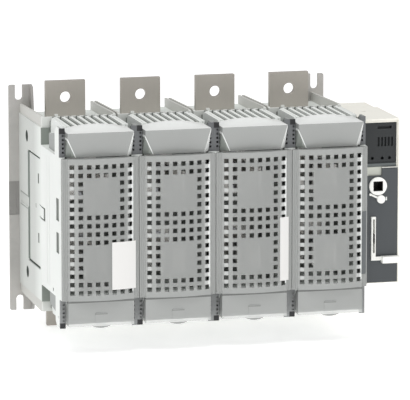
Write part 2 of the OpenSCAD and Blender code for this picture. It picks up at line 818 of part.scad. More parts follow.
// Sheet steel mounting rail with open slots and a stiffening flange
module rail() {
    half = rail_height / 2;
    slot_x = rail_out;
    color("darkgray")
    difference() {
        union() {
            draw_front([0, rail_thick]) rail_outline(half);
            both_ends()
                draw_side([rail_width - rail_thick, rail_width])
                    polygon([[0, base_half + 0.3], [rail_thick + rail_flange, base_half + 0.3],
                             [rail_thick + rail_flange - 5, half - 2], [rail_thick, half],
                             [0, half]]);
        }
        both_ends() {
            block([slot_x - slot_width / 2, slot_x + slot_width / 2],
                  [-overcut, rail_thick + overcut], [slot_height, half + overcut]);
            rod_y([-overcut, rail_thick + overcut], slot_x, slot_height, slot_width);
            rod_y([-overcut, rail_thick + overcut], rail_out + rail_screw_in,
                  rail_screw_height, screw_d + 1);
            rod_y([-overcut, 1.6], rail_out + rail_screw_in, rail_screw_height, 10.4);
        }
        block([-overcut, 9], [rail_thick - 1, rail_thick + overcut], [-21, 21]);
    }
}

module rail_outline(half) {
    tip = 2.4;
    translate([rail_width / 2, 0]) rounded_rect(rail_width, 2 * half, tip);
}

module rail_left() {
    translate([-block_half - rail_out, 0, 0]) rail();
}

module rail_right() {
    translate([block_half + rail_out, 0, 0]) mirror([1, 0, 0]) rail();
}

module rail_screws() {
    color("lightgray")
    for (side = [-1, 1]) both_ends() {
        x = side * (block_half - rail_screw_in);
        rod_y([0.4, 1.6], x, rail_screw_height, 10);
        rod_y([1, rail_thick + 3], x, rail_screw_height, screw_d);
    }
}

// Rods that clamp the poles and the mechanism together
module tie_rods() {
    head_x = pole_x(1) + counterbore_depth;
    color("silver")
    both_ends() {
        rod_x([head_x, head_x + head_depth], rod_depth, rod_height, counterbore_d - 1.4);
        rod_x([head_x + head_depth - 0.5, rod_end + 8], rod_depth, rod_height, rod_d);
    }
}

module rod_nuts() {
    color("silver")
    both_ends()
        difference() {
            rod_x([rod_end, rod_end + 6], rod_depth, rod_height, 13);
            rod_x([rod_end - overcut, rod_end + 6 + overcut], rod_depth, rod_height, rod_d);
        }
}

// Moulded case of the operating mechanism
module mechanism_case() {
    w = mech_wall;
    inside = [mech_left + w, mech_right - w];
    rear_half = base_half - base_wall - 6;
    color("ivory")
    difference() {
        draw_side([mech_left, mech_right])
            polygon([[rail_thick, -rear_half], [mech_rear, -rear_half],
                     [mech_rear, -mech_bottom], [mech_front, -mech_bottom],
                     [mech_front, mech_top], [mech_step, mech_top],
                     [mech_step, mech_top - 2], [mech_rear, mech_top - 2],
                     [mech_rear, rear_half], [rail_thick, rear_half]]);
        block(inside, [rail_thick + 4, mech_rear - w], [-rear_half + w, rear_half - w]);
        block(inside, [mech_rear - w - overcut, mech_rear + w + overcut],
              [-mech_bottom + w, rear_half - w]);
        block(inside, [mech_rear + w, mech_front + overcut], [-mech_bottom + w, mech_top - 2 - w]);
        block([mech_left - overcut, mech_left + w + overcut],
              [drive_depth - drive_travel - drive_z - overcut, drive_depth + drive_z + overcut],
              [-drive_z - overcut, drive_z + overcut]);
        both_ends() {
            rod_x([mech_left - overcut, mech_right + overcut], rod_depth, rod_height,
                  rod_d + 2 * fit_gap);
            rod_x([mech_right - w - overcut, mech_right + overcut], rod_depth, rod_height,
                  counterbore_d);
        }
        // groove across the top and the clip hole in front of it
        block([mech_left - overcut, mech_right + overcut], [88, 89.5],
              [mech_top - 3.2, mech_top]);
        rod_z_hole(shaft_x + 0.8, clip_depth, mech_top, 6);
        // shoulder that the face plate sits on
        block([inside[0] - 1, mech_right - frame_strip], [face_back, mech_front + overcut],
              [-mech_bottom + 1, mech_top - 2]);
    }
    // shelf behind the cut corner of the face plate
    block([inside[0] - 1, notch_right + 3], [face_back - 5, face_back - fit_gap],
          [notch_bottom - 0.6, window_bottom]);
    // web that takes the rods at each end of the case, with the nuts on its right
    both_ends()
        difference() {
            block([rod_end - 4, rod_end], [rail_thick + 3, mech_rear - 4],
                  [rod_height - 12, rod_height + 1]);
            rod_x([rod_end - 5, rod_end + overcut], rod_depth, rod_height, rod_d + 2 * fit_gap);
        }
}

module rod_z_hole(x, d, z, dia) {
    translate([x, -d, z - 6]) cylinder(d = dia, h = 7);
}

// Dark front plate with the shaft hole, the lever's hole and the lock tab's slot
module mechanism_face() {
    left = mech_left + mech_wall - 1 + fit_gap;
    right = mech_right - frame_strip - fit_gap;
    color("dimgray")
    difference() {
        block([left, right], [face_back, mech_front], [-mech_bottom + 1.2, window_bottom]);
        block([left - overcut, right + overcut], [mech_front - 0.8, mech_front + overcut],
              [window_bottom - 1.8, window_bottom - 1]);
        block([tab_x + tab_width + 1, right + overcut], [mech_front - 0.8, mech_front + overcut],
              [tab_foot + 3, tab_foot + 3.8]);
        block([left - overcut, notch_right], [face_back - overcut, mech_front + overcut],
              [notch_bottom, window_bottom + overcut]);
        rod_y([face_back - overcut, mech_front + overcut], shaft_x, shaft_height,
              ring_d + 2 * running_gap);
        rod_y([face_back - overcut, mech_front + overcut], lever_x, lever_z,
              4 + 2 * running_gap);
        block([tab_x - fit_gap, tab_x + tab_width + fit_gap],
              [face_back - overcut, mech_front + overcut],
              [tab_foot - 3 - fit_gap, tab_top + fit_gap]);
    }
}

// Block of auxiliary contacts in the window above the face plate
module auxiliary_block() {
    left = mech_left + mech_wall + fit_gap;
    right = mech_right - mech_wall - fit_gap;
    front = mech_front - 4;
    color("darkslategray")
    difference() {
        block([left, right], [front - 40, front],
              [window_bottom + fit_gap, mech_top - 2 - mech_wall - fit_gap]);
        block([left + 17, right - 6], [front - 4, front + overcut],
              [window_top - 10.5, window_top - 7.5]);
        for (i = [0:4])
            block([left + 17 + i * 4.2, left + 19.2 + i * 4.2], [front - 3, front + overcut],
                  [window_top - 32, window_top - 21]);
        for (x = [10.4, 22.8, 32])
            rod_y([front - 6, front + overcut], left + x, window_bottom + 10.5, 3.6);
        block([left - overcut, right + overcut], [front - 1.5, front + overcut],
              [window_bottom + 4, window_bottom + 6]);
    }
}

// Operating shaft: ring and square socket in front
module shaft_hub() {
    color("white")
    difference() {
        union() {
            rod_y([face_back - 8, mech_front + 2.5], shaft_x, shaft_height, ring_d);
            rod_y([drum_front, face_back - 7], shaft_x, shaft_height, shaft_d);
        }
        block([shaft_x - socket_side / 2, shaft_x + socket_side / 2],
              [mech_front + 2.5 - socket_depth, mech_front + 2.5 + overcut],
              [shaft_height - socket_side / 2, shaft_height + socket_side / 2]);
    }
}

// Drum with a helical groove that moves the follower through its travel
module cam_drum() {
    steps = 24;
    sweep = 106;
    color("silver")
    difference() {
        union() {
            rod_y([drum_back, drum_front], shaft_x, shaft_height, drum_d);
            rod_y([drum_back - bearing_length, drum_back + 1], shaft_x, shaft_height, 10);
        }
        for (i = [0:steps]) {
            angle = -8 + i * sweep / steps;
            translate([shaft_x, -(drive_depth - drive_travel * angle / 90), shaft_height])
                rotate([0, -angle, 0]) translate([0, 0, -drum_r - 1])
                    cylinder(r = groove_r, h = groove_depth + 1);
        }
    }
}

// Bearing block of the shaft's rear end, on the back wall of the case
module shaft_bearing() {
    color("gray")
    difference() {
        block([shaft_x - 12, shaft_x + 12], [rail_thick + 4, drum_back - 2],
              [shaft_height - 10, shaft_height + 10]);
        rod_y([drum_back - bearing_length - overcut, drum_back], shaft_x, shaft_height,
              10 + 2 * running_gap);
    }
}

// L-shaped pull-out tab that takes padlocks
module lock_tab() {
    foot = [tab_x + 12.5, mech_right - 0.5];
    front = mech_front + tab_proud;
    color("white")
    difference() {
        union() {
            block([tab_x, tab_x + tab_width], [face_back - tab_guide, front],
                  [tab_foot - 3, tab_top]);
            block([tab_x, foot[1] - 2], [mech_front + 0.3, front], [tab_foot - 3, tab_foot + 1.5]);
            block(foot, [mech_front + 0.3, front + 6], [tab_foot - 6, tab_foot + 2]);
        }
        block([tab_x + 2, tab_x + tab_width - 1.2], [face_back - 4, front + overcut],
              [tab_foot + 6, tab_top - 3]);
    }
}

// Small white lever that blocks the shaft until it is pressed aside
module interlock_lever() {
    tip = lever_length - lever_tip;
    color("white") {
        rod_y([face_back - 3, mech_front + 1], lever_x, lever_z, 4);
        rod_y([mech_front + 0.3, mech_front + 3.4], lever_x, lever_z, lever_d);
        translate([lever_x, -mech_front - 0.3, lever_z]) rotate([90, 0, 0])
            linear_extrude(2) rotate(lever_angle) {
                translate([0, -lever_arm / 2]) square([tip, lever_arm]);
                translate([tip, 0]) circle(lever_tip);
            }
    }
}

for (k = [1:pole_count]) {
    at = [pole_x(k), 0, 0];
    translate(at) base_case(k);
    translate(at) fuse_bay(k);
    translate(at) guard(k);
    translate(at) fuse_cover(k);
    translate(at) terminal(k);
    translate(at) mirror([0, 0, 1]) terminal(k);
    translate(at) jaw(k);
    translate(at) mirror([0, 0, 1]) jaw(k);
    translate(at) contact_carrier(k);
    translate(at) contact_bridges(k);
}
hinge_pins();
jaw_springs();
jaw_screws();
terminal_screws();
drive_bar();
rail_left();
rail_right();
rail_screws();
tie_rods();
rod_nuts();
mechanism_case();
mechanism_face();
auxiliary_block();
shaft_hub();
cam_drum();
lock_tab();
interlock_lever();
shaft_bearing();
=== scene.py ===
# %% [markdown]
# # A fuse switch disconnector, dressed for its portrait
# The solids of the switch are already built at their real size: cases, covers, terminals, rails and
# the mechanism. This notebook gives them their finishes, adds the thin parts that are too fine for
# the solids, and sets the light and the camera. Everything is in metres, X to the right, Z up, and
# the front of the switch looks along -Y.

# %% Load the frame
import json
from math import asin, radians

import bmesh
import bpy
from mathutils import Matrix, Vector


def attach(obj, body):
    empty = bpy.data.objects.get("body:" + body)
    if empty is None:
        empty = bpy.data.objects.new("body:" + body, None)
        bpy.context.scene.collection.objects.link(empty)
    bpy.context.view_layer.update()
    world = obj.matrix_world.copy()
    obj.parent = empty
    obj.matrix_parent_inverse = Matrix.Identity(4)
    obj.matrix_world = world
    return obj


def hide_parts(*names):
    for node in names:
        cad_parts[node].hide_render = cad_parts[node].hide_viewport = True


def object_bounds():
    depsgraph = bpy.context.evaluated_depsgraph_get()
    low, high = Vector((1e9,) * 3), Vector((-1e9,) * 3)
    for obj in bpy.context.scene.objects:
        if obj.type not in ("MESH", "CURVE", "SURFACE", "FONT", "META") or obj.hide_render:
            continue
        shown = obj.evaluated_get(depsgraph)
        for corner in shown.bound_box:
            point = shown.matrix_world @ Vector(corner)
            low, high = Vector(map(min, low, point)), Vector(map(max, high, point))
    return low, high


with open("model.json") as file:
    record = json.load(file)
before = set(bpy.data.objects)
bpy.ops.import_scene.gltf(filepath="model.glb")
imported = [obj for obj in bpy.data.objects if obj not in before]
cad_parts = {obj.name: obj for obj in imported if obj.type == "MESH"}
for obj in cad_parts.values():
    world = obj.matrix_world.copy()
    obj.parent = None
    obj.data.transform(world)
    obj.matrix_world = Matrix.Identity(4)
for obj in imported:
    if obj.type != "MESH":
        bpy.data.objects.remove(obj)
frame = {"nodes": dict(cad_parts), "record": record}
cad_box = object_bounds()
MM = 0.001
POLE_COUNT = 4
POLE_PITCH = 94.0 * MM
BLOCK_LEFT = -POLE_PITCH * POLE_COUNT / 2


# %% [markdown]
# ## A small language for shaders
# A finish is a network of nodes. Wiring each node by hand makes long, dull code, so a `Value` wraps
# a socket and lets plain Python expressions such as `1 - mask * 0.5` add the Math nodes. Anything
# that isn't plain arithmetic comes from one method, `Finish.add`, which takes the node's type, its
# settings and what goes into its sockets.

# %% Values and finishes
class Value:
    """A shader socket that can be used in an arithmetic expression."""

    def __init__(self, finish, socket):
        self.finish = finish
        self.socket = socket

    def _join(self, operation, first, second):
        return self.finish.add("Math", {"operation": operation}, {0: first, 1: second})

    def __add__(self, other):
        return self._join("ADD", self, other)

    def __mul__(self, other):
        return self._join("MULTIPLY", self, other)

    def __sub__(self, other):
        return self._join("SUBTRACT", self, other)

    def __rsub__(self, other):
        return self._join("SUBTRACT", other, self)

    def __gt__(self, other):
        return self._join("GREATER_THAN", self, other)

    def __lt__(self, other):
        return self._join("LESS_THAN", self, other)


class Finish:
    """One material, built node by node round a single Principled shader."""

    def __init__(self, name):
        self.material = bpy.data.materials.new(name)
        self.material.use_nodes = True
        self.tree = self.material.node_tree
        self.tree.nodes.clear()
        self.place = self.add("TexCoord", out="Object")
        self.shader = self.tree.nodes.new("ShaderNodeBsdfPrincipled")
        output = self.tree.nodes.new("ShaderNodeOutputMaterial")
        self.tree.links.new(self.shader.outputs[0], output.inputs[0])

    def add(self, kind, settings=None, inputs=None, out=0):
        """Adds a node: settings first, then the values or links of its sockets."""
        node = self.tree.nodes.new("ShaderNode" + kind)
        for key, value in (settings or {}).items():
            if key == "stops":
                self._set_stops(node.color_ramp, value)
            else:
                setattr(node, key, value)
        for key, value in (inputs or {}).items():
            self._feed(node.inputs[key], value)
        return Value(self, node.outputs[out])

    def _set_stops(self, ramp, stops):
        while len(ramp.elements) < len(stops):
            ramp.elements.new(1.0)
        for element, (position, level) in zip(ramp.elements, stops):
            element.position = position
            element.color = (level, level, level, 1.0)

    def _feed(self, socket, value):
        if isinstance(value, Value):
            self.tree.links.new(value.socket, socket)
        else:
            socket.default_value = value

    def set(self, **sockets):
        """Sets sockets of the shader, their names written with underscores."""
        for key, value in sockets.items():
            self._feed(self.shader.inputs[key.replace("_", " ")], value)

    def noise(self, scale, detail=3.0, rough=0.5, stretch=(1, 1, 1)):
        """Noise whose grain is about 1 / scale metres, stretched along an axis if asked."""
        mapped = self.add("Mapping", {}, {"Vector": self.place, "Scale": stretch})
        return self.add("TexNoise", {}, {"Vector": mapped, "Scale": scale, "Detail": detail,
                                         "Roughness": rough})

    def mix(self, factor, first, second):
        """A colour between two others."""
        return self.add("Mix", {"data_type": "RGBA"},
                        {0: factor, 6: first, 7: second}, out=2)

    def bump(self, height, strength, distance):
        return self.add("Bump", {}, {"Height": height, "Strength": strength,
                                     "Distance": distance})

    def axis(self, name):
        """One of the object coordinates."""
        return self.add("SeparateXYZ", {}, {0: self.place}, out=name)

    def where(self):
        """X across, depth from the panel, height from the middle, and X within one pole."""
        across = self.axis("X")
        height = self.add("Math", {"operation": "ABSOLUTE"}, {0: self.axis("Z")})
        in_pole = self.add("Math", {"operation": "MODULO"}, {0: across - BLOCK_LEFT, 1: POLE_PITCH})
        return across, self.axis("Y") * -1.0, height, in_pole

    def fade(self, value, start, end):
        """Rises from 0 to 1 while the value goes from start to end."""
        return self.add("MapRange", {}, {"Value": value, "From Min": start, "From Max": end})


def rgb(red, green, blue):
    """A colour as seen on screen, 0 to 255, turned into the light that shaders work in."""
    def linear(channel):
        share = channel / 255
        return share / 12.92 if share <= 0.04045 else ((share + 0.055) / 1.055) ** 2.4
    return (linear(red), linear(green), linear(blue), 1.0)


def shade(colour, factor):
    return tuple(channel * factor for channel in colour[:3]) + (1.0,)


def between(value, low, high):
    """1 where the value lies in a band, else 0."""
    return (value > low) * (value < high)


def around(value, middle, half):
    """1 where the value lies within half a width of the middle, else 0."""
    return between(value, middle - half, middle + half)


print("shader tools ready")


# %% [markdown]
# ## Moulded plastic
# The cases are compression-moulded polyester: pale, slightly chalky, with a fine eroded grain from
# the mould and faint flow marks. Two noises do this: a coarse one that moves the colour by a few
# percent, and a fine one that roughens the surface and tilts its normals. Masks made from the
# coordinates set other colours: mostly painted shade in channels, corners, recesses, slots, holes
# and gaps, and a few colours the mouldings really have.

# %% Plastic finishes
def moulded(name, colour, roughness, grain=900.0, depth=0.00006, drift=0.05, regions=None):
    """Matte moulded plastic with flow marks and mould grain, and other colours in some regions."""
    finish = Finish(name)
    flow = finish.noise(9.0, 4.0, 0.6, (1, 1, 0.45))
    speck = finish.noise(grain, 2.0, 0.6)
    tone = finish.add("ValToRGB", {"stops": [(0.3, 0.0), (0.7, 1.0)]}, {0: flow})
    base = finish.mix(tone, shade(colour, 1 - drift), shade(colour, 1 + drift * 0.4))
    for mask, other in (regions(finish) if regions else []):
        base = finish.mix(mask, base, other)
    finish.set(Base_Color=base, Roughness=speck * 0.16 + (roughness - 0.08),
               Normal=finish.bump(speck, 0.35, depth))
    return finish.material


PANEL_STEP = 52.5 * MM
FLANGE_FOOT = 222.9 * MM
VENT_FOOT = 85.5 * MM
ROD_HEIGHT = 84.0 * MM
ROD_DEPTH = 47.0 * MM
ROD_HOLE_HALF = 7.5 * MM
SHAFT_ACROSS = 207.6 * MM
SHAFT_HEIGHT = 32.3 * MM
SOCKET_HALF = 6.1 * MM


def case_regions(finish):
    """Painted shade on the end wall, darker to the rear, in its recess, slots, rod holes, grooves
    and latch edges, and the greyer barriers and ledge.
    """
    across, depth, height, in_pole = finish.where()
    inside = between(in_pole, 0.0006, 0.03)
    # Painted shade: the rod holes are coloured dark inside, where the light doesn't reach.
    holes = around(height, ROD_HEIGHT, ROD_HOLE_HALF) * inside
    holes = holes * around(depth, ROD_DEPTH, ROD_HOLE_HALF)
    groove = between(in_pole, 0.0015, 0.0045)
    # Painted shade: the grooves are coloured dark, as their shade.
    grooves = (height < 0.0688) * between(depth, PANEL_STEP, 0.1255) * groove
    crest = height > 0.1064
    end_wall = across < BLOCK_LEFT + 0.0046
    # Painted shade: the end wall grows darker towards the rear.
    end_wall_rear_shade = end_wall * finish.fade(depth, 0.118, 0.085)
    # Painted shade along the rear wall of the recess in the end wall.
    recess_shade = end_wall * (height < 0.0665) * between(depth, PANEL_STEP, 0.0600)
    up = finish.axis("Z")
    # Painted shade: dark bands in the end wall stand for the shade inside its slots.
    slots = between(up, 0.035, 0.047) + between(up, -0.038, -0.026)
    slots = end_wall * slots * between(depth, 0.1030, 0.1090)
    # Painted shade: two thin dark lines along the edges of the latch recess.
    latch_edge_shade = between(up, 0.0096, 0.0112) + between(up, -0.0058, -0.0044)
    latch_edge_shade = end_wall * latch_edge_shade * between(depth, 0.0120, 0.0510)
    return [(end_wall_rear_shade, rgb(196, 199, 195)), (recess_shade, rgb(150, 158, 152)), (slots, rgb(112, 118, 112)),
            (latch_edge_shade, rgb(132, 138, 132)), (holes, rgb(84, 92, 86)), (grooves, rgb(104, 112, 106)),
            (crest, rgb(196, 196, 191)), (crest * (depth > 0.1215), rgb(214, 216, 212))]


def bay_regions(finish):
    """Painted shade inside the bays, on their left walls and slotted flanges, in the channels and
    corners between poles, and between and behind the ribs.
    """
    across, depth, height, in_pole = finish.where()
    above = height > VENT_FOOT
    # Painted shade: the inside of each bay darkens towards the back, where little light gets in.
    bay_inside_shade = (height < 0.0845) * between(in_pole, 0.0029, 0.0911)
    left_edge = in_pole < 0.0106
    right_edge = in_pole > 0.0887
    edges = left_edge + right_edge
    inner_pole = across > BLOCK_LEFT + 0.001
    # Painted shade in the channels between poles; the open left side of the first pole stays lit.
    channel = above * edges * inner_pole * (depth < FLANGE_FOOT)
    # Painted shade in the pocket at the left corner of each vent box.
    corner = above * left_edge * (depth < 0.1532)
    # Painted shade on the slotted flanges between the covers.
    flange_shade = above * (depth > FLANGE_FOOT) * (in_pole * (POLE_PITCH - in_pole) < 0.0006)
    # Painted shade on the deck between the vent ribs.
    rib_gap_shade = between(height, 0.105, 0.1165) * between(in_pole, 0.0115, 0.0885) * (depth < 0.2035)
    # Painted shadow along the rear ends of the vent ribs.
    rib_rear_shadow = (height > 0.1) * (depth < 0.1320)
    # Painted shade on the left wall of each bay, the same as inside.
    marks = (height < 0.084) * between(in_pole, 0.0004, 0.0026)
    return [(bay_inside_shade * finish.fade(depth, 0.2325, 0.206), rgb(150, 154, 150)),
            (channel, rgb(146, 149, 147)), (corner, rgb(128, 134, 128)),
            (rib_gap_shade, rgb(166, 171, 165)), (rib_rear_shadow * (1.0 - left_edge), rgb(116, 120, 116)),
            (marks, rgb(150, 154, 150)), (flange_shade, rgb(104, 106, 108)),
            # Less painted shade on the lower flanges, and near-black painted shadow at the top of
            # each left flange.
            (flange_shade * (finish.axis("Z") < 0.0), rgb(138, 140, 140)),
            (flange_shade * left_edge * (height > 0.1135), rgb(30, 30, 32))]


def cream_regions(finish):
    """The shelf behind the cut corner of the face plate lies in shade."""
    _, depth, height, _ = finish.where()
    shelf = between(depth, 0.2045, 0.2099) * between(height, 0.0435, 0.0552)
    return [(shelf, rgb(196, 198, 188))]


def face_regions(finish):
    """A pale edge along the top of the plate and a small painted position mark."""
    across = finish.axis("X")
    up = finish.axis("Z")
    mark = between(across, 0.2178, 0.2195) * between(up, 0.0143, 0.0186)
    return [(up > 0.0541, rgb(206, 206, 200)), (mark, rgb(216, 218, 216))]


def block_regions(finish):
    """The lighter sill along the foot of the auxiliary block."""
    return [(finish.axis("Z") < 0.0592, rgb(96, 102, 102))]


def white_regions(finish):
    """The square socket of the shaft gets painted shade inside."""
    across, depth, height, _ = finish.where()
    # Painted shade on the walls inside the square socket.
    socket = around(across, SHAFT_ACROSS, SOCKET_HALF) * around(height, SHAFT_HEIGHT, SOCKET_HALF)
    return [(socket * (depth < 0.2151), rgb(44, 43, 39))]


case_white = moulded("case_white", rgb(226, 230, 226), 0.5, regions=case_regions)
bay_white = moulded("bay_white", rgb(230, 233, 230), 0.46, regions=bay_regions)
case_cream = moulded("case_cream", rgb(241, 239, 230), 0.42, regions=cream_regions)
face_grey = moulded("face_grey", rgb(66, 70, 73), 0.44, 1400.0, 0.00004, 0.08, face_regions)
block_black = moulded("block_black", rgb(28, 32, 34), 0.5, regions=block_regions)
part_white = moulded("part_white", rgb(243, 243, 239), 0.34, 1200.0, 0.00003, 0.02, white_regions)
insulator_tan = moulded("insulator_tan", rgb(150, 138, 118), 0.55, 500.0, 0.0001, 0.12)
print("plastics:", case_white.name, case_cream.name, face_grey.name)


# %% [markdown]
# ## Clear smoke-tinted covers
# The covers are injection-moulded polycarbonate, tinted grey. They let about a fifth of the light
# through, and twice that in front of the jaws, which show as faint ghosts. Real refraction would be
# slow through many layers; a glossy shader whose Alpha lets the inside show is enough and survives
# every renderer.

# %% Clear finish
def smoked(name, colour, alpha, regions):
    """Tinted clear plastic. Each region has a mask, a colour and what it adds to the Alpha."""
    finish = Finish(name)
    flow = finish.noise(14.0, 3.0, 0.5, (1, 1, 0.5))
    base = finish.mix(flow, shade(colour, 0.95), shade(colour, 1.04))
    solid = flow * 0.02 + (alpha - 0.01)
    for mask, other, change in regions(finish, base):
        base = finish.mix(mask, base, other)
        solid = solid + mask * change
    finish.set(Base_Color=base, Roughness=flow * 0.08 + 0.2, IOR=1.58,
               Alpha=solid, Normal=finish.bump(flow, 0.15, 0.0002))
    return finish.material


VISOR_FOOT = 115.8 * MM
GRILLE_HALF = 75.5 * MM


def clear_regions(finish, colour):
    """Clearer blank areas; painted highlights on the visor, right facets, left edge line and grille
    sides; painted shade on the left facets, under the grille and the tab; painted light on the
    lower lip.
    """
    _, _, height, in_pole = finish.where()
    up = finish.axis("Z")
    grille = height < GRILLE_HALF
    blank = grille * between(in_pole, 0.0200, 0.0780)
    # Painted reflection: a bright strip down the right side of the grille.
    grille_right_highlight = grille * between(in_pole, 0.0836, 0.0862)
    # Painted highlight between the holes of the first and last grille columns.
    column_highlights = grille * (between(in_pole, 0.0795, 0.0836) + between(in_pole, 0.0096, 0.0138))
    # Painted highlight: the visor is coloured near white, as lit from above.
    visor = up > VISOR_FOOT
    facets = between(up, 0.0862, VISOR_FOOT)
    slant = (up - 0.086) * 0.2333 + 0.033
    # Painted highlight on the right slanted facets of the scoop.
    right_facet_highlight = facets * (in_pole - POLE_PITCH / 2 > slant)
    left_slant = (up - 0.088) * -0.4857 + 0.0175
    # Painted shade on the left slanted facet of the scoop.
    left_facet_shade = facets * (in_pole < left_slant)
    # Painted highlight: a thin bright line along the rim of the left facet.
    left_edge_highlight = left_facet_shade * (in_pole > left_slant - 0.0012)
    # Painted shadow: a dark line just under the grille's foot.
    grille_foot_shadow = between(up, -0.0876, -0.0852)
    # Painted shadow cast by the small tab on the lower facet.
    tab_shadow = between(in_pole, 0.0395, 0.0545) * between(up, -0.1024, -0.1008)
    # Painted light: the lower lip is coloured lighter, and it also lets more through.
    lip = up < -0.1125
    tip = up < -0.1163
    return [(blank, colour, -0.2), (grille_right_highlight, rgb(228, 230, 228), 0.08),
            (column_highlights, rgb(198, 200, 198), 0.0), (left_facet_shade, rgb(142, 147, 142), 0.0),
            (left_edge_highlight, rgb(236, 238, 236), 0.1), (grille_foot_shadow, rgb(108, 110, 108), 0.1),
            (tab_shadow, rgb(138, 140, 138), 0.0),
            (visor, rgb(250, 252, 250), -0.03), (right_facet_highlight, rgb(246, 248, 246), 0.05),
            (lip, rgb(222, 224, 222), -0.3), (tip, rgb(150, 152, 150), 0.2)]


clear_smoke = smoked("clear_smoke", rgb(165, 167, 165), 0.82, clear_regions)
print("clear plastic:", clear_smoke.name)


# %% [markdown]
# ## Metals
# Tin-plated copper is dull and a little warm, brushed along the bar. Zinc-plated steel is brighter
# and bluer. Galvanised sheet shows its spangle, the frozen crystals of zinc, as flat patches of
# slightly different grey, so a Voronoi texture sets both the colour and the roughness. The rails
# get painted shade at mid height, where they lie behind the cases.

# %% Metal finishes
def brushed(name, colour, roughness, stretch=(1, 1, 0.04), scratch=700.0, metallic=1.0):
    """Metal brushed along the axis whose stretch is small."""
    finish = Finish(name)
    lines = finish.noise(scratch, 2.0, 0.6, stretch)
    smudge = finish.noise(22.0, 4.0, 0.6)
    tone = lines * 0.4 + smudge * 0.6
    base = finish.mix(tone, shade(colour, 0.82), shade(colour, 1.08))
    finish.set(Base_Color=base, Metallic=metallic,
               Roughness=lines * 0.18 + smudge * 0.16 + (roughness - 0.17),
               Normal=finish.bump(lines, 0.25, 0.00005))
    return finish.material


def spangled(name, colour):
    """Galvanised sheet steel."""
    finish = Finish(name)
    crystals = finish.add("TexVoronoi", {"feature": "F1"},
                          {"Vector": finish.place, "Scale": 160.0}, out="Color")
    patch = finish.add("SeparateColor", {}, {0: crystals})
    haze = finish.noise(30.0, 4.0, 0.6)
    base = finish.mix(patch * 0.4 + haze * 0.6, shade(colour, 0.9), shade(colour, 1.04))
    _, _, height, _ = finish.where()
    # Painted shade: the rails are darker at mid height, where they lie behind the cases.
    base = finish.mix(height < 0.021, base, shade(colour, 0.62))
    finish.set(Base_Color=base, Metallic=0.7, Roughness=patch * 0.14 + haze * 0.2 + 0.28,
               Normal=finish.bump(patch, 0.1, 0.0001))
    return finish.material


tinned_copper = brushed("tinned_copper", rgb(178, 173, 166), 0.5, metallic=0.7)
silvered_copper = brushed("silvered_copper", rgb(226, 224, 220), 0.3, (1, 0.05, 1))
contact_copper = brushed("contact_copper", rgb(214, 160, 130), 0.35)
zinc_steel = brushed("zinc_steel", rgb(206, 208, 212), 0.3, (0.05, 1, 1))
spring_steel = brushed("spring_steel", rgb(120, 122, 128), 0.32, (1, 1, 0.1))
galvanised_steel = spangled("galvanised_steel", rgb(186, 184, 181))
print("metals:", tinned_copper.name, zinc_steel.name, galvanised_steel.name)


# %% [markdown]
# ## Soft edges
# No moulded or pressed part has a knife edge: the small radius along each edge is what catches the
# light and makes a part look real. Each solid is copied, its loose triangles are merged, and every
# edge sharper than a limit gets a narrow bevel. Flat faces stay flat because only the sharp edges
# are marked, and the bevel only takes material away, so the size doesn't change.

# %% Soften a solid
MERGE_DISTANCE = 0.002 * MM
FLAT_ANGLE = radians(0.4)
SHARP_ANGLE = radians(32)
SMOOTH_ANGLE = radians(34)
body_of = {node: body for body, nodes in frame["record"]["behaviour"]["bodies"].items()
           for node in nodes}


def finish_mesh(bm, name, material):
    """Turns a bmesh into an object at the origin, shaded smooth up to an angle."""
    mesh = bpy.data.meshes.new(name)
    bm.to_mesh(mesh)
    bm.free()
    for face in mesh.polygons:
        face.use_smooth = True
    mesh.set_sharp_from_angle(angle=SMOOTH_ANGLE)
    mesh.materials.append(material)
    piece = bpy.data.objects.new(name, mesh)
    bpy.context.scene.collection.objects.link(piece)
    even = piece.modifiers.new("even_normals", "WEIGHTED_NORMAL")
    even.keep_sharp = True
    even.weight = 80
    return piece


def soften(node, width, material):
    """A copy of a solid with rounded edges, which stands in for it."""
    bm = bmesh.new()
    bm.from_mesh(frame["nodes"][node].data)
    bmesh.ops.remove_doubles(bm, verts=bm.verts, dist=MERGE_DISTANCE)
    bmesh.ops.dissolve_limit(bm, angle_limit=FLAT_ANGLE, verts=bm.verts, edges=bm.edges)
    sharp = [edge for edge in bm.edges
             if len(edge.link_faces) == 2 and edge.calc_face_angle(0) > SHARP_ANGLE]
    bmesh.ops.bevel(bm, geom=sharp, offset=width, offset_type="OFFSET", segments=2,
                    profile=0.5, affect="EDGES", clamp_overlap=True, material=-1)
    piece = finish_mesh(bm, "soft_" + node, material)
    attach(piece, body_of[node])
    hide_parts(node)
    return piece


# %% [markdown]
# ## A finish for every solid
# The record names a material slot for each solid. The table gives each slot its finish and the
# width of its soft edges in metres: wide on the big mouldings, narrow on pressed and turned metal.

# %% Dress the solids
finishes = {
    "case_white": (case_white, 0.0007), "bay_white": (bay_white, 0.0004),
    "clear_smoke": (clear_smoke, 0.0004), "tinned_copper": (tinned_copper, 0.0005),
    "silvered_copper": (silvered_copper, 0.0003), "contact_copper": (contact_copper, 0.0003),
    "insulator_tan": (insulator_tan, 0.0004), "zinc_steel": (zinc_steel, 0.0003),
    "spring_steel": (spring_steel, 0.0002), "galvanised_steel": (galvanised_steel, 0.0004),
    "case_cream": (case_cream, 0.0008), "face_grey": (face_grey, 0.0003),
    "block_black": (block_black, 0.0004), "part_white": (part_white, 0.0006),
}
for part in frame["record"]["subparts"]:
    material, width = finishes[part["material_slot"]]
    piece = soften(part["node"], width, material)


# %% [markdown]
# ## Plates on the covers
# Two pale plates sit on the bulged covers, and a narrow dark one on the last stile. They follow the
# bulge, so each starts as one upright edge that is spun round the axis of the bulge, and a
# thin wall is given to the strip afterwards. Their faces are bare.

# %% Bulged plates
BULGE_AXIS = -114.7 * MM
BULGE_RADIUS = 130.0 * MM
PLATE_LIFT = 0.35 * MM
PLATE_WALL = 0.3 * MM
PLATE_STEPS = 24


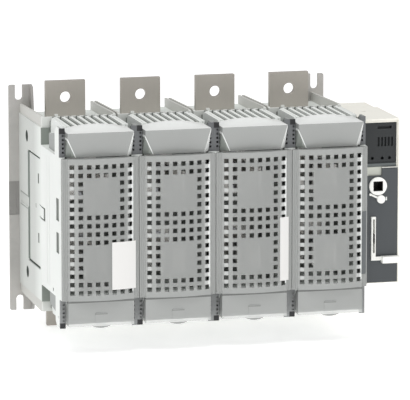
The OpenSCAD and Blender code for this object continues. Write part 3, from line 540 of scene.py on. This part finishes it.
def pole_middle(pole):
    return BLOCK_LEFT + (pole - 0.5) * POLE_PITCH


def bulged_plate(name, pole, left, right, low, high, material):
    """A thin plate on a cover's bulge, between two offsets from the middle of the pole."""
    radius = BULGE_RADIUS + PLATE_LIFT
    start = asin(left / radius)
    sweep = asin(right / radius) - start
    centre = Vector((pole_middle(pole), BULGE_AXIS, 0))
    bm = bmesh.new()
    ends = [bm.verts.new((centre.x, BULGE_AXIS - radius, z)) for z in (low, high)]
    edge = bm.edges.new(ends)
    bmesh.ops.rotate(bm, verts=ends, cent=centre, matrix=Matrix.Rotation(start, 3, "Z"))
    bmesh.ops.spin(bm, geom=ends + [edge], cent=centre, axis=(0, 0, 1), angle=sweep,
                   steps=PLATE_STEPS)
    bmesh.ops.recalc_face_normals(bm, faces=bm.faces)
    bmesh.ops.solidify(bm, geom=bm.faces[:], thickness=PLATE_WALL)
    bmesh.ops.recalc_face_normals(bm, faces=bm.faces)
    piece = finish_mesh(bm, name, material)
    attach(piece, "cover_%d" % pole)
    return piece


plate_white = moulded("plate_white", rgb(222, 221, 219), 0.38, 1500.0, 0.00002, 0.015)
plate_grey = moulded("plate_grey", rgb(92, 96, 98), 0.4, 1500.0, 0.00002, 0.04)
plates = [
    bulged_plate("plate_cover_1", 1, 0.0121, 0.0424, -0.0725, -0.0155, plate_white),
    bulged_plate("plate_cover_3", 3, 0.0309, 0.0424, -0.0722, 0.0045, plate_white),
    bulged_plate("strip_cover_4", 4, 0.0393, 0.0452, -0.0695, 0.0067, plate_grey),
]
print("plates:", [plate.name for plate in plates])


# %% [markdown]
# ## Camera
# The camera stands where the photographer stood: a little above the switch and to its left, far
# away with a long lens. Its place, target and lens come from a fit to the holes of the grilles, the
# terminals and the rails.

# %% Camera
CAMERA_PLACE = (-1.31416, -5.18281, 0.92742)
CAMERA_TARGET = (-0.01449, -0.240, 0.02967)
CAMERA_LENS = 384.26
CAMERA_SENSOR = 36.0


def aim(thing, target):
    """Turns a camera or a lamp so that it looks at a point."""
    direction = Vector(target) - thing.location
    thing.rotation_euler = direction.to_track_quat("-Z", "Y").to_euler()


camera_data = bpy.data.cameras.new("photo_camera")
camera = bpy.data.objects.new("photo_camera", camera_data)
bpy.context.scene.collection.objects.link(camera)
camera.location = CAMERA_PLACE
aim(camera, CAMERA_TARGET)
camera_data.sensor_width = CAMERA_SENSOR
camera_data.lens = CAMERA_LENS
camera_data.clip_end = 50.0
bpy.context.scene.camera = camera
print("camera at", [round(value, 3) for value in camera.location])


# %% [markdown]
# ## Light
# The light is soft: a bright world, one large lamp above left and a weaker one in front, a little
# to the right. The world shows plain white to the camera, whatever light it gives to the rest.

# %% Lamps and world
SWITCH_MIDDLE = (0, -0.1, 0)
WORLD_LIGHT = 0.6


def softbox(name, place, size, power):
    """A square area lamp that looks at the switch."""
    data = bpy.data.lights.new(name, "AREA")
    data.shape = "RECTANGLE"
    data.size = size
    data.size_y = size
    data.energy = power
    lamp = bpy.data.objects.new(name, data)
    bpy.context.scene.collection.objects.link(lamp)
    lamp.location = place
    aim(lamp, SWITCH_MIDDLE)
    return lamp


softbox("key_lamp", (-0.7, -1.2, 2.9), 1.6, 44.0)
softbox("front_lamp", (0.6, -3.4, 1.2), 1.4, 12.0)


def white_to_camera(tree, level):
    """A world that looks plain white to the camera but gives the level of light asked for."""
    tree.nodes.clear()
    path = tree.nodes.new("ShaderNodeLightPath")
    seen = tree.nodes.new("ShaderNodeBackground")
    lit = tree.nodes.new("ShaderNodeBackground")
    blend = tree.nodes.new("ShaderNodeMixShader")
    seen.inputs["Color"].default_value = (1, 1, 1, 1)
    seen.inputs["Strength"].default_value = 1.0
    lit.inputs["Color"].default_value = (1, 1, 1, 1)
    lit.inputs["Strength"].default_value = level
    tree.links.new(path.outputs["Is Camera Ray"], blend.inputs[0])
    tree.links.new(lit.outputs[0], blend.inputs[1])
    tree.links.new(seen.outputs[0], blend.inputs[2])
    return blend


world = bpy.data.worlds.new("studio")
bpy.context.scene.world = world
world.use_nodes = True
shown = white_to_camera(world.node_tree, WORLD_LIGHT)
surface = world.node_tree.nodes.new("ShaderNodeOutputWorld")
world.node_tree.links.new(shown.outputs[0], surface.inputs[0])

bpy.context.scene.view_settings.view_transform = "Standard"


# %% [markdown]
# ## Floor
# A wide sheet of pale paper lies just under the lowest point of the switch. A little light of its
# own keeps it near white, so that only the soft shadow shows.

# %% Floor
FLOOR_HALF_WIDTH = 12.0
FLOOR_GAP = 0.5 * MM


def pale_floor():
    """A wide pale plane under the lowest point of the switch."""
    bm = bmesh.new()
    bmesh.ops.create_grid(bm, x_segments=1, y_segments=1, size=FLOOR_HALF_WIDTH)
    bmesh.ops.translate(bm, verts=bm.verts, vec=(0, 0, cad_box[0][2] - FLOOR_GAP))
    mesh = bpy.data.meshes.new("floor")
    bm.to_mesh(mesh)
    bm.free()
    floor = bpy.data.objects.new("floor", mesh)
    bpy.context.scene.collection.objects.link(floor)
    finish = Finish("floor_paper")
    speck = finish.noise(60.0, 2.0)
    finish.set(Base_Color=finish.mix(speck, (0.93, 0.93, 0.93, 1), (0.97, 0.97, 0.97, 1)),
               Roughness=0.9)
    finish.set(Specular_IOR_Level=0.1, Emission_Color=(1, 1, 1, 1), Emission_Strength=0.5)
    mesh.materials.append(finish.material)
    return floor


pale_floor()
print("stage ready")
